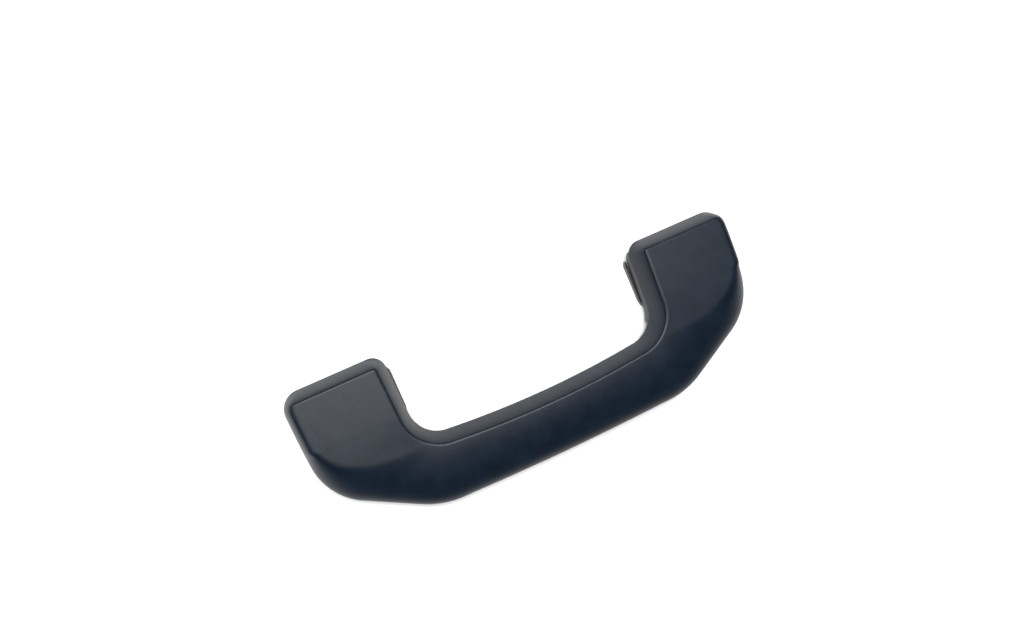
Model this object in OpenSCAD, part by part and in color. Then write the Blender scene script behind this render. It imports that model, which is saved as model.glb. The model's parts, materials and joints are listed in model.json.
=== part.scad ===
// Retractable roof grab handle for a car: a hollow moulded handle that folds
// flat against the roof and swings down on two hinge brackets.
// Z = 0 is the mounting plane, +Z faces the cabin, X runs along the handle and
// the grip lies towards -Y. The origin is midway between the two screw holes.

/* [Handle outline] */
// Overall length of the handle
handle_length = 215; // [211:1:220]
// From the top edge of the feet to the lowest point of the grip
handle_height = 74; // [73:0.5:77]
// Clear length between the two feet, at their top edge
feet_gap = 120.6; // [118:0.2:122]
// Width of the grip bar at the middle of the handle
grip_width = 29.2; // [28:0.2:31]
// Distance from the line of the screw holes to the top edge of the feet
foot_top_y = 27; // [26.5:0.1:28]
// Plan radius of a foot's top corner next to the finger gap
inner_corner_r = 6; // [5:0.5:8]
// Plan radius of a foot's top corner at the end of the handle
outer_corner_r = 8.5; // [7:0.5:10]
// Plan radius in the crook between a foot and the grip bar
crook_r = 14; // [12:0.5:16]
// Plan radius where the end of a foot turns towards the grip bar
shoulder_r = 28; // [24:1:32]
// Plan radius where the slanted lower edge meets the grip bar
heel_r = 40; // [30:1:44]

/* [Handle section] */
// Height of the flat front face of a foot above the mounting plane
face_z = 22; // [21.5:0.1:24]
// Height of the highest line of the grip bar
grip_top_z = 21.4; // [20.8:0.1:23]
// Height of the parting line between the front and back shells
seam_z = 10.5; // [10.2:0.1:11]
// Height of the back edge of the feet
foot_back_z = 3.6; // [3.5:0.1:4]
// Height of the back of the grip bar
grip_back_z = 2.6; // [2.4:0.1:3]
// Wall thickness of the two shells
wall = 2.4; // [2:0.1:2.6]
// Width in plan of the steep rim around the front face
rim_w = 4.6; // [4:0.1:5.5]

/* [Hinge] */
// Distance from the line of the screw holes to the hinge axis
pivot_y = 17; // [16.8:0.1:17.4]
// Height of the hinge axis above the mounting plane
pivot_z = 10.5; // [10.5:0.1:11]
// Diameter of a hinge pin
pin_d = 4; // [3.6:0.1:4.4]
// Radial running clearance of a pin in the bracket
pin_clearance = 0.06; // [0.03:0.01:0.09]
// Outer radius of a bracket's knuckles
knuckle_r = 5; // [4.6:0.1:5.4]
// Distance from the middle of the handle to the first ear of a foot
ear_x = 66; // [65.8:0.1:66.5]
// Thickness of an ear of the carrier
ear_t = 4; // [3.4:0.1:4.2]
// Width of the space between the two ears of a foot
ear_gap = 24; // [23.6:0.2:24.6]

/* [Mounting] */
// Distance between the two screw holes
hole_spacing = 166; // [164:0.5:168]
// Radius of a screw hole, in the steel sleeve
hole_r = 3.3; // [2.7:0.1:3.4]
// Height of the steel sleeves, which is the clamped length
sleeve_h = 6; // [5:0.5:7]
// Thickness of the brackets' base plates
plate_t = 3; // [2.6:0.1:3]

/* [Spring and damper] */
// Wire diameter of the return spring
wire_d = 1.3; // [1:0.1:1.5]
// Number of coils of the return spring
spring_turns = 6; // [4:1:7]
// Radius of the damper housing
damper_r = 6.1; // [5.8:0.1:6.2]

/* [Hidden] */
$fn = 48;

charcoal = [0.15, 0.17, 0.20];
inner_grey = [0.24, 0.25, 0.27];
bracket_black = [0.05, 0.05, 0.06];
steel = [0.68, 0.69, 0.71];
rubber = [0.10, 0.10, 0.10];
nylon = [0.86, 0.85, 0.80];

// Plan curves of the handle's right half. Along the U, a station runs from 0 at
// a foot's top edge, by 1 at the start of the crook and 2 at its end, to 3 at
// the middle of the grip bar.
crook_y = -1.5;
foot_len = foot_top_y - crook_y;
grip_low_y = foot_top_y - handle_height;
grip_in_y = grip_low_y + grip_width;
side_draft = 1.1;
crook_x = feet_gap / 2 - side_draft - crook_r;
crook_end_y = crook_y - crook_r;
heel_x = 47;
heel_rise = 0.8;
slope_top = [handle_length / 2 - 1.9, foot_top_y - 48.3];
slope_end = [61, grip_low_y + 0.9];
heel_end = [heel_x, grip_low_y + heel_rise];

function smooth(t) = t <= 0 ? 0 : t >= 1 ? 1 : t * t * (3 - 2 * t);
function mix(a, b, t) = a + (b - a) * t;
function unit(v) = v / norm(v);
function corner_cut(d, r) = d >= r ? 0 : r - sqrt(r * r - (r - d) * (r - d));
function foot_y(s) = foot_top_y - foot_len * s;
function foot_in_x(y) = feet_gap / 2 - side_draft * (foot_top_y - y) / foot_len
    + corner_cut(foot_top_y - y, inner_corner_r);
function foot_out_x(y) = handle_length / 2 - corner_cut(foot_top_y - y, outer_corner_r)
    - side_draft * pow(max(0, foot_top_y - outer_corner_r - y) / foot_len, 1.5);

// Arc of radius r that rounds the corner b of the path a, b, c.
function round_corner(a, b, c, r, n) = let(
    u = unit(a - b), v = unit(c - b),
    half = acos(u * v) / 2,
    centre = b + unit(u + v) * r / sin(half),
    start = b + u * r / tan(half) - centre,
    turn = (180 - 2 * half) * sign(start.x * (v.y) - start.y * (v.x)))
    [for (k = [0 : n]) let(q = turn * k / n)
        centre + [start.x * cos(q) - start.y * sin(q), start.x * sin(q) + start.y * cos(q)]];

slope_start = [foot_out_x(crook_y), crook_y];
slope_path = concat([slope_start],
    round_corner(slope_start, slope_top, slope_end, shoulder_r, 14),
    round_corner(slope_top, slope_end, heel_end, heel_r, 8), [heel_end]);
function run(path, k) = k == 0 ? 0 : run(path, k - 1) + norm(path[k] - path[k - 1]);
slope_runs = [for (k = [0 : len(slope_path) - 1]) run(slope_path, k)];
slope_len = slope_runs[len(slope_runs) - 1];
slope_x = [for (k = [0 : len(slope_path) - 1]) [slope_runs[k], slope_path[k].x]];
slope_y = [for (k = [0 : len(slope_path) - 1]) [slope_runs[k], slope_path[k].y]];

function inner_pt(s) = s <= 1 ? [foot_in_x(foot_y(s)), foot_y(s)]
    : s <= 2 ? [crook_x + crook_r * cos(90 * (s - 1)), crook_y - crook_r * sin(90 * (s - 1))]
    : [crook_x * (3 - s), mix(crook_end_y, grip_in_y, 1 - (3 - s) * (3 - s))];
function outer_pt(s) = s <= 1 ? [foot_out_x(foot_y(s)), foot_y(s)]
    : s <= 2 ? [lookup((s - 1) * slope_len, slope_x), lookup((s - 1) * slope_len, slope_y)]
    : [heel_x * (3 - s), grip_low_y + heel_rise * (3 - s) * (3 - s)];

// Height of the front face at distance e from the inner edge of a section of
// width w, from 0 at the parting line to 1 at the section's full height. A foot
// is flat with a steep rim; the grip falls in one long curve to its outer edge.
function shoulder(s) = smooth((s - 0.9) / 0.75);
function rim(t, k, m) = t >= 1 ? 1 : pow(1 - pow(1 - max(t, 0), k), 1 / m);
function face_height(s, e, w, top_d) = let(b = shoulder(s))
    rim(e / rim_w, 1.45, 1)
    * rim((w - e) / mix(rim_w + 0.4, w - rim_w, b), 2, mix(1.3, 2, b))
    * rim(top_d / rim_w, 1.5, 1);
function full_height(s) = mix(face_z, grip_top_z, shoulder(s)) - seam_z;

// Back edge of the front shell: it rises round the hinge so that the foot can
// swing past the mounting plane, and stops at the parting line on the grip.
ear_clear_r = 7.2;
top_edge_z = seam_z - 0.5;
bead_z = seam_z - 0.7;
function swing_edge(y) = let(d = y - pivot_y)
    d > ear_clear_r - 0.4 ? top_edge_z
    : d > -2.2 ? min(top_edge_z, pivot_z - sqrt(ear_clear_r * ear_clear_r - d * d))
    : foot_back_z;
shell_split = 1.36;
function back_edge(s) = s < shell_split ? swing_edge(foot_y(min(s, 1)))
    : bead_z;

// Loop of one section through the front shell: its outer skin, or with an
// inset the cavity, which is open towards the roof.
rim_steps = [0, 0.08, 0.3, 0.62, 0.88, 1];
mid_steps = 6;
function skin_spots(w) = concat([for (t = rim_steps) t * rim_w],
    [for (k = [1 : mid_steps]) mix(rim_w, w - rim_w, k / (mid_steps + 1))],
    [for (k = [len(rim_steps) - 1 : -1 : 0]) w - rim_steps[k] * rim_w]);
function front_loop(s, inset) = let(
    shrink = (foot_len - inset) / foot_len,
    at = s >= 1 ? s : mix(1, s, shrink),
    dir = unit(outer_pt(at) - inner_pt(at)),
    a = inner_pt(at) + dir * inset,
    b = outer_pt(at) - dir * inset,
    w = norm(b - a),
    top_d = s >= 1 ? rim_w : s * foot_len * shrink,
    low = back_edge(s),
    tuck = inset > 0 ? 0 : 0.35)
    concat([concat(a + dir * tuck, low)],
        [for (e = skin_spots(w)) concat(a + dir * e,
            seam_z + (full_height(s) - inset) * face_height(s, e, w, top_d))],
        [concat(b - dir * tuck, low)]);

end_steps = [0, 0.35, 1.1, 2.3, 3.7];
half_stations = concat([for (d = end_steps) d / foot_len],
    [for (k = [0 : 6]) mix(rim_w / foot_len, 1, k / 6)],
    [for (k = [1 : 4]) mix(1, shell_split, k / 4)],
    [for (k = [0 : 6]) mix(shell_split + 0.002, 2, k / 6)],
    [for (k = [1 : 7]) 2 + k / 7]);

function reversed(list) = [for (k = [len(list) - 1 : -1 : 0]) list[k]];
function flip(p) = [-p.x, p.y, p.z];
function mirrored(loops) = concat(loops,
    [for (k = [len(loops) - 2 : -1 : 0]) [for (p = loops[k]) flip(p)]]);

// Faces between neighbouring loops of n points, for a row of rows loops.
function side_faces(n, rows) = [for (i = [0 : rows - 2]) for (j = [0 : n - 1]) let(k = (j + 1) % n)
    each [[i * n + j, i * n + k, (i + 1) * n + k], [i * n + j, (i + 1) * n + k, (i + 1) * n + j]]];

// Joins a row of equal closed loops into one solid with flat ends.
module loft(loops) {
    n = len(loops[0]);
    rows = len(loops);
    first = [for (j = [n - 1 : -1 : 0]) j];
    last = [for (j = [0 : n - 1]) (rows - 1) * n + j];
    polyhedron([for (l = loops) each l], concat(side_faces(n, rows), [first], [last]), convexity = 10);
}

// The same for a hollow channel: an outer skin and a cavity skin that share
// their rims along the channel and are closed by a wall at each end.
module channel(skins, cavities) {
    a = len(skins[0]);
    n = a + len(cavities[0]);
    rows = len(skins);
    rings = [[for (j = [0 : a - 1]) j], [for (j = [a : n - 1]) j], [a - 1, a, n - 1, 0]];
    ends = concat([for (r = rings) [for (k = [len(r) - 1 : -1 : 0]) r[k]]],
        [for (r = rings) [for (j = r) (rows - 1) * n + j]]);
    polyhedron([for (i = [0 : rows - 1]) each concat(skins[i], reversed(cavities[i]))],
        concat(side_faces(n, rows), ends), convexity = 10);
}

module both_sides() {
    children();
    mirror([1, 0, 0]) children();
}

// Puts a part drawn for the right foot on the left one when side is -1.
module on_side(side) {
    mirror([side < 0 ? 1 : 0, 0, 0]) children();
}

// A round bar or ring along the hinge axis of the right foot.
module on_axis(x0, x1, r) {
    translate([x0, pivot_y, pivot_z]) rotate([0, 90, 0]) cylinder(h = x1 - x0, r = r);
}

// Back shell: a shallow tray under the grip bar, with a lip at the seam.
back_top_z = bead_z - 0.35;
back_round = 7;
back_steps = [0.04, 0.16, 0.38, 0.68, 1];
seam_lip = 0.2;
function belly(t) = 1 - sqrt(1 - (1 - t) * (1 - t));
function back_loop(s, inset) = let(
    dir = unit(outer_pt(s) - inner_pt(s)),
    a = inner_pt(s) + dir * (inset + 0.15),
    b = outer_pt(s) - dir * (inset - seam_lip),
    w = norm(b - a),
    floor_z = grip_back_z + inset,
    r = max(back_round - inset, 2))
    concat([concat(a, back_top_z)],
        [for (t = back_steps) concat(a + dir * t * r, mix(floor_z, back_top_z, belly(t)))],
        [for (k = [1 : 3]) concat(a + dir * mix(r, w - r, k / 4), floor_z)],
        [for (k = [len(back_steps) - 1 : -1 : 0])
            concat(b - dir * back_steps[k] * r, mix(floor_z, back_top_z, belly(back_steps[k])))],
        [concat(b, back_top_z)]);

function back_stations(first) = concat([for (k = [0 : 7]) mix(first, 2, k / 7)],
    [for (k = [1 : 6]) 2 + k / 6]);

// Inner parts of the handle.
mid_y = (grip_low_y + grip_in_y) / 2 + 2.5;
screw_x = [18, 44];
screw_r = 1.5;
screw_head_r = 2.8;
boss_r = 4;
plate_low_z = 14.6;
plate_top_z = 16.6;
edge_gap = 5.7;
plate_end_s = (edge_gap + 0.2) / foot_len;
ear_r = 6.2;
ear_x2 = ear_x + ear_t + ear_gap;
window_y = pivot_y - 7.6;
function plate_in(s) = let(d = unit(outer_pt(s) - inner_pt(s))) inner_pt(s) + d * edge_gap;
function plate_out(s) = let(d = unit(outer_pt(s) - inner_pt(s)))
    outer_pt(s) - d * mix(edge_gap, 10.4, smooth((s - 0.7) / 0.6));
plate_s = concat([for (k = [0 : 2]) mix(plate_end_s, 1, k / 2)], [for (k = [1 : 8]) 1 + k / 8], [2.5, 3]);
plate_half = concat([for (s = plate_s) plate_in(s)],
    [for (k = [len(plate_s) - 1 : -1 : 0]) plate_out(plate_s[k])]);

// Brackets.
hole_x = hole_spacing / 2;
knuckle_w = 4;
side_gap = 0.35;
bar_x0 = ear_x + ear_t + side_gap;
bar_x1 = ear_x2 - side_gap;
part_x0 = bar_x0 + knuckle_w + 0.4;
part_x1 = bar_x1 - knuckle_w - 0.4;
lip_x = feet_gap / 2 - 1.4;
plate_end_y = pivot_y - 2.5;
cup_r = 10.4;
cup_inner_r = 8.95;
cup_z = 12.6;
sleeve_r = 4.7;
bore_r = pin_d / 2 + pin_clearance;
rib_y = pivot_y - 8;

module front_shell() {
    color(charcoal)
    channel(mirrored([for (s = half_stations) front_loop(s, 0)]),
        mirrored([for (s = half_stations) front_loop(s, wall)]));
}

module screw_places() {
    for (x = screw_x)
        both_sides()
            translate([x, mid_y, 0]) children();
}

module back_shell() {
    color(charcoal)
    difference() {
        union() {
            channel(mirrored([for (s = back_stations(shell_split + 0.004)) reversed(back_loop(s, 0))]),
                mirrored([for (s = back_stations(shell_split + 0.07)) reversed(back_loop(s, wall - 0.4))]));
            screw_places() translate([0, 0, grip_back_z + 0.5]) cylinder(h = 5.4, r = boss_r);
            for (x = [0, 31])
                both_sides()
                    translate([x - 0.8, mid_y - 9, grip_back_z + 1]) cube([1.6, 18, 4.6]);
        }
        screw_places() {
            translate([0, 0, -1]) cylinder(h = 20, r = screw_r + 0.2);
            translate([0, 0, -1]) cylinder(h = grip_back_z + 3.6, r = screw_head_r + 0.4);
        }
    }
}

module ear_profile() {
    circle(r = ear_r);
    translate([-ear_r, 0]) square([ear_r + 4.4, plate_top_z - pivot_z]);
    // Lug that meets the stop pad when the handle is fully open.
    polygon([[4.5, -0.8], [6.76, -1.81], [5.73, -4], [3.5, -3.6]]);
}

module ear(x) {
    translate([x, pivot_y, pivot_z]) rotate([90, 0, 90]) linear_extrude(ear_t) ear_profile();
}

module carrier() {
    color(inner_grey)
    difference() {
        union() {
            difference() {
                both_sides()
                    translate([0, 0, plate_low_z]) linear_extrude(plate_top_z - plate_low_z) polygon(plate_half);
                both_sides()
                    translate([ear_x + ear_t, window_y, plate_low_z - 1]) cube([ear_gap, 30, 4]);
            }
            both_sides() {
                ear(ear_x);
                ear(ear_x2);
                translate([hole_x - 8, 0, plate_top_z - 0.5]) cylinder(h = 3.2, r = 2.2);
                translate([hole_x + 8, 0, plate_top_z - 0.5]) cylinder(h = 3.2, r = 2.2);
            }
            translate([-screw_x[1], mid_y - 1, 10]) cube([2 * screw_x[1], 2, plate_low_z - 9.5]);
            screw_places() translate([0, 0, grip_back_z + 6.2]) cylinder(h = plate_low_z - grip_back_z - 6, r = 3.4);
            for (x = [-30 : 20 : 30])
                translate([x, grip_in_y - 9, plate_top_z - 0.5]) cylinder(h = 2.4, r = 1.8);
        }
        both_sides() on_axis(ear_x - 5, ear_x2 + ear_t + 5, pin_d / 2 + 0.01);
        screw_places() translate([0, 0, 5]) cylinder(h = 8.5, r = screw_r + 0.02);
    }
}

module shell_screws() {
    color(steel)
    screw_places() {
        difference() {
            translate([0, 0, grip_back_z + 0.8]) cylinder(h = 1.8, r = screw_head_r);
            translate([-2, -0.35, grip_back_z]) cube([4, 0.7, 1.7]);
            translate([-0.35, -2, grip_back_z]) cube([0.7, 4, 1.7]);
        }
        translate([0, 0, grip_back_z + 2.6]) cylinder(h = 8, r = screw_r);
        translate([0, 0, grip_back_z + 10.6]) cylinder(h = 0.25, r1 = screw_r, r2 = 0.8);
    }
}

module rest_bumpers() {
    color(rubber)
    both_sides()
        translate([31, mid_y, 0.3]) {
            cylinder(h = 0.7, r1 = 4.4, r2 = 5);
            translate([0, 0, 0.7]) cylinder(h = grip_back_z - 1.02, r = 5);
        }
}

module base_outline() {
    difference() {
        polygon([[lip_x, 0.5], [lip_x + 0.6, -2], [72, -8], [100, -8], [101, -7],
            [101, plate_end_y - 2], [99, plate_end_y], [lip_x + 1.3, plate_end_y],
            [lip_x + 1.3, pivot_y + 2.7], [lip_x + 1, pivot_y + 3], [lip_x, pivot_y + 1]]);
        translate([hole_x, 0]) circle(r = sleeve_r);
    }
}

module bracket() {
    color(bracket_black)
    difference() {
        union() {
            linear_extrude(plate_t) base_outline();
            on_axis(bar_x0, bar_x0 + knuckle_w, knuckle_r);
            on_axis(bar_x1 - knuckle_w, bar_x1, knuckle_r);
            for (x = [bar_x0, bar_x1 - knuckle_w])
                translate([x, pivot_y - 6, plate_t - 0.5]) cube([knuckle_w, 4.6, pivot_z - plate_t + 0.5]);
            translate([bar_x0, rib_y, plate_t - 0.5]) cube([bar_x1 - bar_x0, 2, 6.5]);
            for (x = [lip_x + 4, 98])
                translate([x, -4, plate_t - 0.5]) cube([1.6, 15, 3.5]);
            translate([hole_x, 0, plate_t - 0.5])
                difference() {
                    cylinder(h = cup_z - plate_t + 0.5, r = cup_r);
                    translate([0, 0, sleeve_h - plate_t + 0.5]) cylinder(h = 20, r = cup_inner_r);
                    translate([0, 0, -1]) cylinder(h = 20, r = sleeve_r);
                }
        }
        on_axis(bar_x0 - 1, bar_x1 + 1, bore_r);
        // Pry notch for the cap.
        translate([hole_x - 2, -cup_r - 1, cup_z - 1.2]) cube([4, 4, 2]);
    }
}

module left_bracket() {
    on_side(-1) bracket();
}

module right_bracket() {
    on_side(1) bracket();
}

module sleeve() {
    color(steel)
    translate([hole_x, 0, 0])
        difference() {
            cylinder(h = sleeve_h, r = sleeve_r - 0.01);
            translate([0, 0, -1]) cylinder(h = sleeve_h + 2, r = hole_r);
        }
}

module left_sleeve() {
    on_side(-1) sleeve();
}

module right_sleeve() {
    on_side(1) sleeve();
}

module cap() {
    color(charcoal)
    translate([hole_x, 0, 0])
        difference() {
            translate([0, 0, cup_z - 3.8]) cylinder(h = 4, r = cup_inner_r - 0.1);
            translate([0, 0, cup_z - 4.8]) cylinder(h = 3.4, r = cup_inner_r - 1.3);
            // Slots that leave springy tongues in the skirt.
            for (a = [0, 90])
                rotate([0, 0, a + 45]) translate([-12, -0.8, cup_z - 4.8]) cube([24, 1.6, 3]);
        }
}

module left_cap() {
    on_side(-1) cap();
}

module right_cap() {
    on_side(1) cap();
}

module pin() {
    color(steel) {
        on_axis(ear_x - 0.8, ear_x2 + ear_t + 0.8, pin_d / 2);
        translate([ear_x2 + ear_t + 0.8, pivot_y, pivot_z]) rotate([0, 90, 0])
            cylinder(h = 0.5, r1 = pin_d / 2, r2 = pin_d / 2 - 0.5);
        translate([ear_x - 0.8, pivot_y, pivot_z]) rotate([0, -90, 0])
            cylinder(h = 0.5, r1 = pin_d / 2, r2 = pin_d / 2 - 0.5);
    }
}

module left_pin() {
    on_side(-1) pin();
}

module right_pin() {
    on_side(1) pin();
}

module pivot_washers() {
    color(nylon)
    both_sides()
        for (x = [bar_x0 - side_gap + 0.02, bar_x1 + 0.03])
            difference() {
                on_axis(x, x + side_gap - 0.05, 4.6);
                on_axis(x - 1, x + 1, bore_r + 0.05);
            }
}

module stop_pads() {
    color(rubber)
    both_sides()
        for (x = [ear_x, ear_x2])
            translate([x, pivot_y - 5, plate_t]) cube([ear_t, 2.4, 0.85]);
}

// Return spring: a wire swept along a coil with two straight legs.
coil_r = 4.3;
coil_x0 = part_x0 + 1;
coil_x1 = part_x1 - 1;
coil_steps = 16;
wire_sides = 6;
function coil_pt(a) = [-mix(coil_x0 + wire_d, coil_x1 - wire_d, a / (360 * spring_turns)),
    pivot_y - coil_r * cos(a), pivot_z - coil_r * sin(a)];
coil_path = [for (k = [0 : coil_steps * spring_turns]) coil_pt(360 * k / coil_steps)];
first_leg = [coil_path[0] + [0, -0.1, 3.4], coil_path[0] + [0, 0, 0.8]];
last_leg = [coil_path[len(coil_path) - 1] + [0, 0, -0.8], coil_path[len(coil_path) - 1] + [0, -0.6, -3.2]];
spring_path = concat([first_leg[0]], coil_path, [last_leg[1]]);
function along(p, k) = unit(p[min(k + 1, len(p) - 1)] - p[max(k - 1, 0)]);
function wire_ring(p, k) = let(t = along(p, k), u = unit(cross(t, [1, 0, 0])), v = cross(t, u))
    [for (j = [0 : wire_sides - 1]) p[k] + wire_d / 2 * (u * cos(360 * j / wire_sides) + v * sin(360 * j / wire_sides))];

module return_spring() {
    color(steel)
    loft([for (k = [0 : len(spring_path) - 1]) wire_ring(spring_path, k)]);
}

module spring_spool() {
    color(nylon)
    mirror([1, 0, 0])
        difference() {
            union() {
                on_axis(part_x0, part_x1, 3.2);
                on_axis(part_x0, part_x0 + 0.8, 5.6);
                on_axis(part_x1 - 0.8, part_x1, 5.6);
            }
            on_axis(part_x0 - 1, part_x1 + 1, bore_r);
        }
}

lid_t = 1.5;
cup_x1 = part_x1 - lid_t;

module damper_body() {
    color(bracket_black)
    difference() {
        union() {
            on_axis(part_x0, cup_x1, damper_r);
            // Flat foot that keeps the housing from turning on the bracket.
            translate([part_x0 + 2, rib_y + 2.02, plate_t + 1]) cube([8, 3, 5]);
        }
        on_axis(part_x0 + 1.2, cup_x1 + 1, damper_r - 1.2);
        on_axis(part_x0 - 1, cup_x1, bore_r + 0.05);
    }
}

module damper_rotor() {
    color(nylon)
    difference() {
        union() {
            on_axis(part_x0 + 1.6, part_x1 + 0.1, 3);
            difference() {
                on_axis(part_x0 + 1.6, cup_x1 - 2, damper_r - 1.4);
                for (a = [0 : 120 : 240])
                    translate([part_x0, pivot_y + 4.6 * cos(a), pivot_z + 4.6 * sin(a)])
                        rotate([0, 90, 0]) cylinder(h = 20, r = 1.3);
            }
        }
        on_axis(part_x0 - 1, part_x1 + 2, pin_d / 2 + 0.01);
    }
}

module damper_ring() {
    color(rubber)
    translate([cup_x1 - 1.3, pivot_y, pivot_z]) rotate([0, 90, 0])
        rotate_extrude() translate([3.55, 0]) circle(r = 0.5, $fn = 16);
}

module damper_lid() {
    color(bracket_black)
    difference() {
        union() {
            on_axis(cup_x1, part_x1 - 0.1, damper_r);
            on_axis(cup_x1 - 0.7, cup_x1 + 0.1, damper_r - 1.25);
        }
        on_axis(cup_x1 - 2, part_x1 + 1, 3.1);
    }
}

front_shell();
back_shell();
carrier();
shell_screws();
rest_bumpers();
left_bracket();
right_bracket();
left_sleeve();
right_sleeve();
left_cap();
right_cap();
left_pin();
right_pin();
pivot_washers();
stop_pads();
return_spring();
spring_spool();
damper_body();
damper_rotor();
damper_ring();
damper_lid();
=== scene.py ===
# %% [markdown]
# # Roof grab handle
# This script dresses a finished CAD model. The script adds what CAD leaves plain:
# a smooth front shell, moulded and metal finishes, a pale table, soft light and
# the photograph's camera.
# %% Load the frame
import bmesh
import bpy
import json
import math
import numpy as np
from mathutils import Matrix, Vector


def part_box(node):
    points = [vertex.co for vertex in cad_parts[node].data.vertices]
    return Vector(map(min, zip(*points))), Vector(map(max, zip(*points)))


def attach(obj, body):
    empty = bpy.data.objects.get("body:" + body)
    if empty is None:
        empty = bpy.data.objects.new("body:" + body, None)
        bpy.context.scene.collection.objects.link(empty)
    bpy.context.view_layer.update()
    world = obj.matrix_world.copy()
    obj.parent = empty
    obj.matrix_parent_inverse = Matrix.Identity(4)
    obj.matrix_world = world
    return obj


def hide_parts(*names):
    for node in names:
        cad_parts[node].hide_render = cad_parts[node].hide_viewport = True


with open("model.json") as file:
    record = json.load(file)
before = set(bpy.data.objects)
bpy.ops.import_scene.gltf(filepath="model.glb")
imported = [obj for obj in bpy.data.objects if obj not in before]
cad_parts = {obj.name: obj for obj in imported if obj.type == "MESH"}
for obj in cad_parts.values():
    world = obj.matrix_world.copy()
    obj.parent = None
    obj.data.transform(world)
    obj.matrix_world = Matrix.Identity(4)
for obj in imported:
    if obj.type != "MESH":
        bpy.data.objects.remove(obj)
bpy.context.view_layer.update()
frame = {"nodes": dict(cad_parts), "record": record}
MM = 0.001

# %% [markdown]
# ## Sizes
# The front shell is a hollow U: two broad feet, two crooks and a grip bar. Its
# overall sizes come from the box of its CAD node, so the script follows the model
# if the length, the height or the depth changes. The other sizes repeat the CAD
# model's driving dimensions. All are in millimetres, as on a drawing.
# %% Driving dimensions
low, high = (np.array(corner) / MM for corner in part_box("front_shell"))
length = float(high[0] - low[0])
foot_top_y = float(high[1])
grip_low_y = float(low[1])
face_z = float(high[2])
feet_gap = 120.6
grip_width = 29.2
grip_drop = 0.6
seam_z, foot_back_z = 10.5, 3.6
wall, rim_w = 2.4, 4.6
pivot_y, pivot_z, ear_clear_r = 17.0, 10.5, 7.2
grip_top_z = face_z - grip_drop
print("handle", round(length, 1), "x", round(foot_top_y - grip_low_y, 1), "mm")

# %% Rounding and slope of the outline
inner_corner_r, outer_corner_r = 6.0, 8.5
crook_r, shoulder_r, heel_r = 14.0, 28.0, 40.0
crook_y, side_draft, draft_power = -1.5, 1.1, 1.5
heel_x, heel_rise = 47.0, 0.8
foot_len = foot_top_y - crook_y
grip_in_y = grip_low_y + grip_width
crook_x = feet_gap / 2 - side_draft - crook_r
print("foot", round(foot_len, 1), "mm long, crook centre at x", round(crook_x, 1), "mm")

# %% [markdown]
# ## Plan curves
# Seen from the cabin, the U has an inner and an outer edge. They could be traced
# as two long splines, but a rule is easier to change. So a station runs along the
# right half: 0 at the foot's top edge, 1 where the crook starts, 2 where it ends
# and 3 at the middle of the grip bar. Every station has one point on each edge.
# %% Small helpers
def smooth(t):
    t = np.clip(t, 0, 1)
    return t * t * (3 - 2 * t)


def mix(a, b, t):
    return a + (b - a) * t


def corner_cut(d, r):
    return 0.0 if d >= r else r - math.sqrt(max(0.0, r * r - (r - d) ** 2))


def round_corner(a, b, c, r, n):
    a, b, c = (np.array(p, float) for p in (a, b, c))
    u, v = (a - b) / np.linalg.norm(a - b), (c - b) / np.linalg.norm(c - b)
    half = math.acos(float(u @ v)) / 2
    centre = b + (u + v) / np.linalg.norm(u + v) * r / math.sin(half)
    start = b + u * r / math.tan(half) - centre
    turn = (math.pi - 2 * half) * math.copysign(1, start[0] * v[1] - start[1] * v[0])
    return [centre + Matrix.Rotation(turn * k / n, 2) @ Vector(start) for k in range(n + 1)]


print("a corner of 6 mm takes off", round(corner_cut(1, inner_corner_r), 2), "mm 1 mm from the end")


# %% Edges of a foot
def foot_x(y):
    d = foot_top_y - y
    inner = feet_gap / 2 - side_draft * d / foot_len + corner_cut(d, inner_corner_r)
    slant = side_draft * (max(0.0, d - outer_corner_r) / foot_len) ** draft_power
    return inner, length / 2 - corner_cut(d, outer_corner_r) - slant


print("foot", round(foot_x(0)[1] - foot_x(0)[0], 1), "mm wide")

# %% Slanted outer edge
shoulder_in, shoulder_down = 1.9, 48.3
slope_end_x, slope_end_rise = 61.0, 0.9
shoulder_steps, heel_steps = 60, 30
slope_start = (foot_x(crook_y)[1], crook_y)
slope_top = (length / 2 - shoulder_in, foot_top_y - shoulder_down)
slope_end = (slope_end_x, grip_low_y + slope_end_rise)
heel_end = (heel_x, grip_low_y + heel_rise)
shoulder = round_corner(slope_start, slope_top, slope_end, shoulder_r, shoulder_steps)
heel = round_corner(slope_top, slope_end, heel_end, heel_r, heel_steps)
slope = np.array([slope_start] + [tuple(p) for p in shoulder + heel] + [heel_end])
slope_run = np.r_[0, np.cumsum(np.linalg.norm(np.diff(slope, axis=0), axis=1))]
print("slanted edge", round(float(slope_run[-1]), 1), "mm long")


# %% Both edges at a station
def edge_points(s):
    if s <= 1:
        y = foot_top_y - foot_len * s
        inner_x, outer_x = foot_x(y)
        return np.array([inner_x, y]), np.array([outer_x, y])
    if s <= 2:
        a = math.pi / 2 * (s - 1)
        inner = np.array([crook_x + crook_r * math.cos(a), crook_y - crook_r * math.sin(a)])
        at = (s - 1) * slope_run[-1]
        return inner, np.array([np.interp(at, slope_run, slope[:, k]) for k in (0, 1)])
    q = 3 - s
    inner = np.array([crook_x * q, mix(crook_y - crook_r, grip_in_y, 1 - q * q)])
    return inner, np.array([heel_x * q, grip_low_y + heel_rise * q * q])


print("middle of the grip bar from y", round(edge_points(3)[0][1], 1), "to", round(edge_points(3)[1][1], 1))

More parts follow.
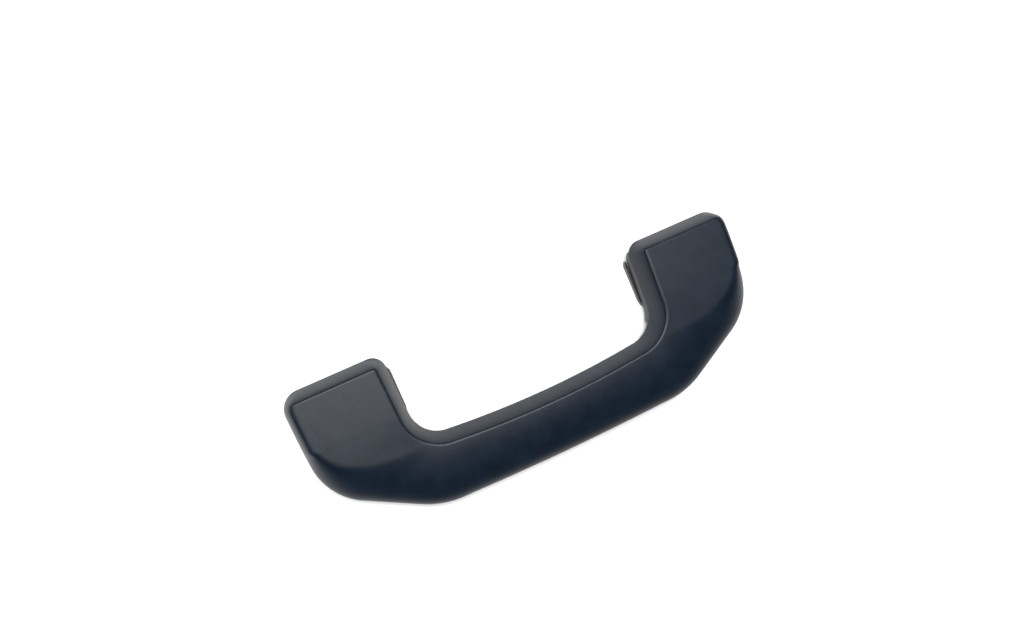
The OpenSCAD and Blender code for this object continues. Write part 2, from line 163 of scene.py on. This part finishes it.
# %% [markdown]
# ## Section of the front shell
# A foot has a flat face inside a steep rim. The grip bar keeps the rim on its
# inner side and falls in one long curve to its outer edge. Two separate shapes
# would leave a crease between them, so one section does both, and a shoulder
# value turns the foot's section into the grip's on the way through the crook.
# The back edge rises around each hinge, where the foot has to clear the bracket
# when the handle swings.
# %% Height and back edge
shell_split = 1.36
seam_gap_grip, seam_gap_foot = 0.7, 0.5
relief_margin, relief_past_pivot = 0.4, 2.2


def rim(t, k, m):
    t = np.clip(t, 0, 1)
    return (1 - (1 - t) ** k) ** (1 / m)


def back_edge(s):
    if s >= shell_split:
        return seam_z - seam_gap_grip
    d = foot_top_y - foot_len * min(s, 1) - pivot_y
    if d > ear_clear_r - relief_margin:
        return seam_z - seam_gap_foot
    if d > -relief_past_pivot:
        return min(seam_z - seam_gap_foot, pivot_z - math.sqrt(ear_clear_r ** 2 - d * d))
    return foot_back_z


print("back edge at the crook", back_edge(1), "mm and at the grip", back_edge(2), "mm")

# %% Section at a station
shoulder_from, shoulder_span = 0.9, 0.75
inner_rim_power, top_rim_power = 1.45, 1.5
outer_rim_extra, outer_power = 0.4, 2
foot_roundness, grip_roundness = 1.3, 2
edge_tuck = 0.35


def section(s, inset, rim_steps, mid_steps):
    shrink = (foot_len - inset) / foot_len
    at = s if s >= 1 else mix(1, s, shrink)
    a, b = edge_points(at)
    along = (b - a) / np.linalg.norm(b - a)
    a, b = a + along * inset, b - along * inset
    w = np.linalg.norm(b - a)
    from_top = rim_w if s >= 1 else s * foot_len * shrink
    turn = float(smooth((s - shoulder_from) / shoulder_span))
    steps = np.array(rim_steps)
    e = np.r_[steps * rim_w, mix(rim_w, w - rim_w, np.linspace(0, 1, mid_steps + 2)[1:-1]),
              w - steps[::-1] * rim_w]
    outer_reach = mix(rim_w + outer_rim_extra, w - rim_w, turn)
    up = rim(e / rim_w, inner_rim_power, 1)
    up = up * rim((w - e) / outer_reach, outer_power, mix(foot_roundness, grip_roundness, turn))
    up *= rim(from_top / rim_w, top_rim_power, 1)
    z = seam_z + (mix(face_z, grip_top_z, turn) - seam_z - inset) * up
    tuck = edge_tuck if inset == 0 else 0.0
    low_z = back_edge(s)
    pts = np.c_[a[0] + along[0] * e, a[1] + along[1] * e, z]
    first = np.r_[a + along * tuck, low_z]
    last = np.r_[b - along * tuck, low_z]
    return np.vstack([first, pts, last])


# %% Stations along the handle
top_steps, foot_steps, crook_steps, turn_steps, grip_steps = 16, 40, 24, 36, 46
split_step = 0.002


def half_stations():
    rim_share = rim_w / foot_len
    ends = rim_share * (1 - np.cos(np.linspace(0, math.pi / 2, top_steps)))
    return np.r_[ends, np.linspace(rim_share, 1, foot_steps)[1:],
                 np.linspace(1, shell_split, crook_steps)[1:],
                 np.linspace(shell_split + split_step, 2, turn_steps), np.linspace(2, 3, grip_steps)[1:]]


def both_halves(rows):
    return rows + [r * [-1, 1, 1] for r in rows[-2::-1]]


print("stations in each half", len(half_stations()))

# %% [markdown]
# ## Front shell mesh
# The real shell is one soft-touch moulding with a wall of even thickness. The CAD
# node has the right form but shows its facets, and a bevel on loose triangles
# would only soften them. So the skin is lofted again with many more stations: an
# outer and an inner row of points at each, joined into one closed wall. Normals
# are recalculated once the loft is closed, and only true edges stay sharp.
# %% Loft the wall
rim_samples, flat_samples = 22, 30
inner_rim_samples, inner_flat_samples = 7, 8
sharp_angle = 40


def front_shell_mesh():
    fine = 1 - np.cos(np.linspace(0, math.pi / 2, rim_samples))
    coarse = np.linspace(0, 1, inner_rim_samples)
    outer = both_halves([section(s, 0, fine, flat_samples) for s in half_stations()])
    inner = both_halves([section(s, wall, coarse, inner_flat_samples) for s in half_stations()])
    n_out, n_in = len(outer[0]), len(inner[0])
    n = n_out + n_in
    verts = np.vstack([np.vstack([o, i[::-1]]) for o, i in zip(outer, inner)]) * MM
    faces = []
    for i in range(len(outer) - 1):
        for j in range(n):
            k = (j + 1) % n
            faces.append((i * n + j, i * n + k, (i + 1) * n + k, (i + 1) * n + j))
    for base, flip in ((0, True), ((len(outer) - 1) * n, False)):
        skin = [base + j for j in range(n_out)]
        lining = [base + n_out + j for j in range(n_in)]
        for ring in (skin, lining, [skin[-1], lining[0], lining[-1], skin[0]]):
            faces.append(tuple(ring[::-1] if flip else ring))
    mesh = bpy.data.meshes.new("front_shell_skin")
    mesh.from_pydata(verts.tolist(), [], faces)
    mesh.validate()
    mesh.update()
    return mesh


skin_mesh = front_shell_mesh()
bm = bmesh.new()
bm.from_mesh(skin_mesh)
bmesh.ops.recalc_face_normals(bm, faces=bm.faces)
bm.to_mesh(skin_mesh)
bm.free()
skin_mesh.shade_smooth()
skin_mesh.set_sharp_from_angle(angle=math.radians(sharp_angle))
print("front shell", len(skin_mesh.polygons), "faces")

# %% Put the front shell on the handle
front_skin = bpy.data.objects.new("front_shell_skin", skin_mesh)
bpy.context.scene.collection.objects.link(front_skin)
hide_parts("front_shell")
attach(front_skin, "handle")
print("the skin stands for front_shell and rides on the handle")

# %% [markdown]
# ## Grain
# Moulded plastic is never one flat colour: it has a fine texture from the mould
# and broad, faint mottling. A picture could show that, but it would need a UV map
# and have a fixed sharpness. Two noises on object coordinates keep their real
# size on every piece, so they are built once as a group and placed in each
# finish with its own values.
# %% Grain group
fine_scale, broad_scale, grain_bump = 2600.0, 140.0, 0.25
fine_detail, broad_detail = 3, 4
bump_height = 0.0002


def grain_group():
    g = bpy.data.node_groups.new("moulded_grain", "ShaderNodeTree")
    for name, value in (("Fine scale", fine_scale), ("Broad scale", broad_scale), ("Bump", grain_bump)):
        sock = g.interface.new_socket(name, in_out="INPUT", socket_type="NodeSocketFloat")
        sock.default_value = value
    g.interface.new_socket("Fine", in_out="OUTPUT", socket_type="NodeSocketFloat")
    g.interface.new_socket("Broad", in_out="OUTPUT", socket_type="NodeSocketFloat")
    g.interface.new_socket("Normal", in_out="OUTPUT", socket_type="NodeSocketVector")
    n, link = g.nodes, g.links.new
    gi, go = n.new("NodeGroupInput"), n.new("NodeGroupOutput")
    co = n.new("ShaderNodeTexCoord")
    fine, broad = n.new("ShaderNodeTexNoise"), n.new("ShaderNodeTexNoise")
    fine.inputs["Detail"].default_value = fine_detail
    broad.inputs["Detail"].default_value = broad_detail
    bump = n.new("ShaderNodeBump")
    bump.inputs["Distance"].default_value = bump_height
    link(co.outputs["Object"], fine.inputs["Vector"])
    link(co.outputs["Object"], broad.inputs["Vector"])
    link(gi.outputs["Fine scale"], fine.inputs["Scale"])
    link(gi.outputs["Broad scale"], broad.inputs["Scale"])
    link(gi.outputs["Bump"], bump.inputs["Strength"])
    link(fine.outputs["Fac"], bump.inputs["Height"])
    link(fine.outputs["Fac"], go.inputs["Fine"])
    link(broad.outputs["Fac"], go.inputs["Broad"])
    link(bump.outputs["Normal"], go.inputs["Normal"])
    return g


grain = grain_group()
print("group", grain.name, "with", len(grain.nodes), "nodes")

# %% [markdown]
# ## Finishes
# The front is a dark, bluish soft-touch plastic, the back a harder one, and
# inside are glass-filled nylon, rubber and steel. Each could be a material of its
# own making, but they differ only in values. So one function mixes a dark and a
# light tone by the grain, and lets the fine grain vary the roughness. What is the
# same all over a piece, such as metallic, is set on the shader itself.
# %% One function for every finish
mottle_from, mottle_to = 0.75, 1.25


def finish(name, dark, light, rough, metallic=0.0, specular=0.5, bump=grain_bump, spread=0.08):
    m = bpy.data.materials.new(name)
    m.use_nodes = True
    n, link = m.node_tree.nodes, m.node_tree.links.new
    bsdf = n["Principled BSDF"]
    g = n.new("ShaderNodeGroup")
    g.node_tree = grain
    g.inputs["Fine scale"].default_value = fine_scale
    g.inputs["Broad scale"].default_value = broad_scale
    g.inputs["Bump"].default_value = bump
    add = n.new("ShaderNodeMath")
    add.operation = "ADD"
    ramp = n.new("ShaderNodeMapRange")
    ramp.inputs["From Min"].default_value = mottle_from
    ramp.inputs["From Max"].default_value = mottle_to
    colour = n.new("ShaderNodeMix")
    colour.data_type = "RGBA"
    colour.inputs["A"].default_value = (*dark, 1)
    colour.inputs["B"].default_value = (*light, 1)
    rough_range = n.new("ShaderNodeMapRange")
    rough_range.inputs["To Min"].default_value = rough - spread
    rough_range.inputs["To Max"].default_value = rough + spread
    link(g.outputs["Fine"], add.inputs[0])
    link(g.outputs["Broad"], add.inputs[1])
    link(add.outputs["Value"], ramp.inputs["Value"])
    link(ramp.outputs["Result"], colour.inputs["Factor"])
    link(colour.outputs["Result"], bsdf.inputs["Base Color"])
    link(g.outputs["Fine"], rough_range.inputs["Value"])
    link(rough_range.outputs["Result"], bsdf.inputs["Roughness"])
    link(g.outputs["Normal"], bsdf.inputs["Normal"])
    bsdf.inputs["Metallic"].default_value = metallic
    bsdf.inputs["Specular IOR Level"].default_value = specular
    return m


# %% Plastics and rubber
finishes = {
    "soft_charcoal": finish("soft_charcoal", (0.0012, 0.0048, 0.0115), (0.0045, 0.0105, 0.021), 0.42,
                            specular=0.26, spread=0.06),
    "hard_charcoal": finish("hard_charcoal", (0.012, 0.017, 0.026), (0.022, 0.028, 0.038), 0.42, bump=0.15),
    "glass_filled_grey": finish("glass_filled_grey", (0.035, 0.037, 0.042), (0.07, 0.072, 0.078), 0.55),
    "black_nylon": finish("black_nylon", (0.004, 0.004, 0.005), (0.010, 0.010, 0.011), 0.4, bump=0.12),
    "natural_nylon": finish("natural_nylon", (0.55, 0.52, 0.44), (0.68, 0.66, 0.58), 0.38, bump=0.05),
    "black_rubber": finish("black_rubber", (0.012, 0.012, 0.012), (0.026, 0.026, 0.026), 0.75),
}
print("plastics and rubber", len(finishes))

# %% Steels
steels = {
    "zinc_steel": ((0.42, 0.43, 0.45), (0.6, 0.6, 0.6), 0.32, 0.04),
    "bright_steel": ((0.5, 0.5, 0.52), (0.62, 0.62, 0.63), 0.22, 0.03),
    "spring_steel": ((0.25, 0.25, 0.27), (0.4, 0.4, 0.42), 0.3, 0.03),
}
for name, (dark, light, rough, bump) in steels.items():
    finishes[name] = finish(name, dark, light, rough, metallic=1.0, bump=bump)
print("steels", len(steels), "of", len(finishes), "finishes")

# %% [markdown]
# ## Dressing the pieces
# The record names a material slot for each CAD piece, and the finishes above have
# the same names. So one loop dresses every piece, and no list of pieces has to be
# kept up to date here.
# %% Assign the finishes
for part in frame["record"]["subparts"]:
    node = frame["nodes"][part["node"]]
    node.data.materials.clear()
    node.data.materials.append(finishes[part["material_slot"]])
skin_mesh.materials.append(finishes["soft_charcoal"])

# %% [markdown]
# ## Table
# The handle lies on a near-white surface. A flat plane with a rough, almost
# unreflecting finish is enough.
# %% Table
table_size = 6
table_tone, table_rough, table_specular = 0.93, 0.9, 0.1
bpy.ops.mesh.primitive_plane_add(size=table_size, location=(0, 0, 0))
table = bpy.context.object
table.name = "table"
white = bpy.data.materials.new("table_white")
white.use_nodes = True
white_shader = white.node_tree.nodes["Principled BSDF"]
white_shader.inputs["Base Color"].default_value = (table_tone, table_tone, table_tone, 1)
white_shader.inputs["Roughness"].default_value = table_rough
white_shader.inputs["Specular IOR Level"].default_value = table_specular
table.data.materials.append(white)
print("table", table_size, "m wide")

# %% [markdown]
# ## Light
# The photograph has soft light from above the feet, and sides that fall off to a
# bluish black. Several lamps would fill those sides, so there is one broad lamp
# and a dim blue room.
# %% Room light
room_colour, room_strength = (0.45, 0.65, 1.0, 1), 0.10
world = bpy.data.worlds.new("soft_room")
bpy.context.scene.world = world
world.use_nodes = True
room = world.node_tree.nodes["Background"]
room.inputs["Color"].default_value = room_colour
room.inputs["Strength"].default_value = room_strength
print("room light", room_strength)


# %% Overhead lamp
def area_light(name, place, aim, size, watts, colour):
    light = bpy.data.lights.new(name, "AREA")
    light.shape = "RECTANGLE"
    light.size, light.size_y = size
    light.energy = watts
    light.color = colour
    o = bpy.data.objects.new(name, light)
    bpy.context.scene.collection.objects.link(o)
    o.location = place
    o.rotation_euler = (Vector(aim) - Vector(place)).to_track_quat("-Z", "Y").to_euler()
    return o


overhead = area_light("overhead", (-0.02, 0.32, 1.25), (0, 0, 0), (0.8, 0.6), 30, (1.0, 0.985, 0.96))
print("lamp", overhead.name, "at", tuple(round(c, 2) for c in overhead.location))

# %% [markdown]
# ## Camera
# The photograph looks down from above the left foot, and the handle lies slanted
# in the frame. The focal length in pixels and the directions of view were
# estimated from the handle's outline in the photograph. The camera's axes are
# made square to each other from those directions.
# %% Camera
focal_px, image_px, sensor = 900.0, 1024.0, 36.0
camera_x, camera_above_feet, camera_z = -60.2, 23.3, 406.1
ahead = Vector((0.148, -0.083, -0.986)).normalized()
up = -Vector((-0.401, -0.916, 0.017))
up = (up - up.dot(ahead) * ahead).normalized()
side = ahead.cross(up).normalized()
camera_at = (camera_x * MM, (camera_above_feet + foot_top_y) * MM, camera_z * MM)
cam_data = bpy.data.cameras.new("camera")
cam_data.lens = focal_px / image_px * sensor
cam_data.sensor_width = sensor
camera = bpy.data.objects.new("camera", cam_data)
bpy.context.scene.collection.objects.link(camera)
camera.matrix_world = Matrix.Translation(camera_at) @ Matrix((side, up, -ahead)).transposed().to_4x4()
bpy.context.scene.camera = camera
bpy.context.scene.view_settings.view_transform = "Standard"
bpy.context.scene.view_settings.look = "None"
print("lens", round(cam_data.lens, 2), "mm")
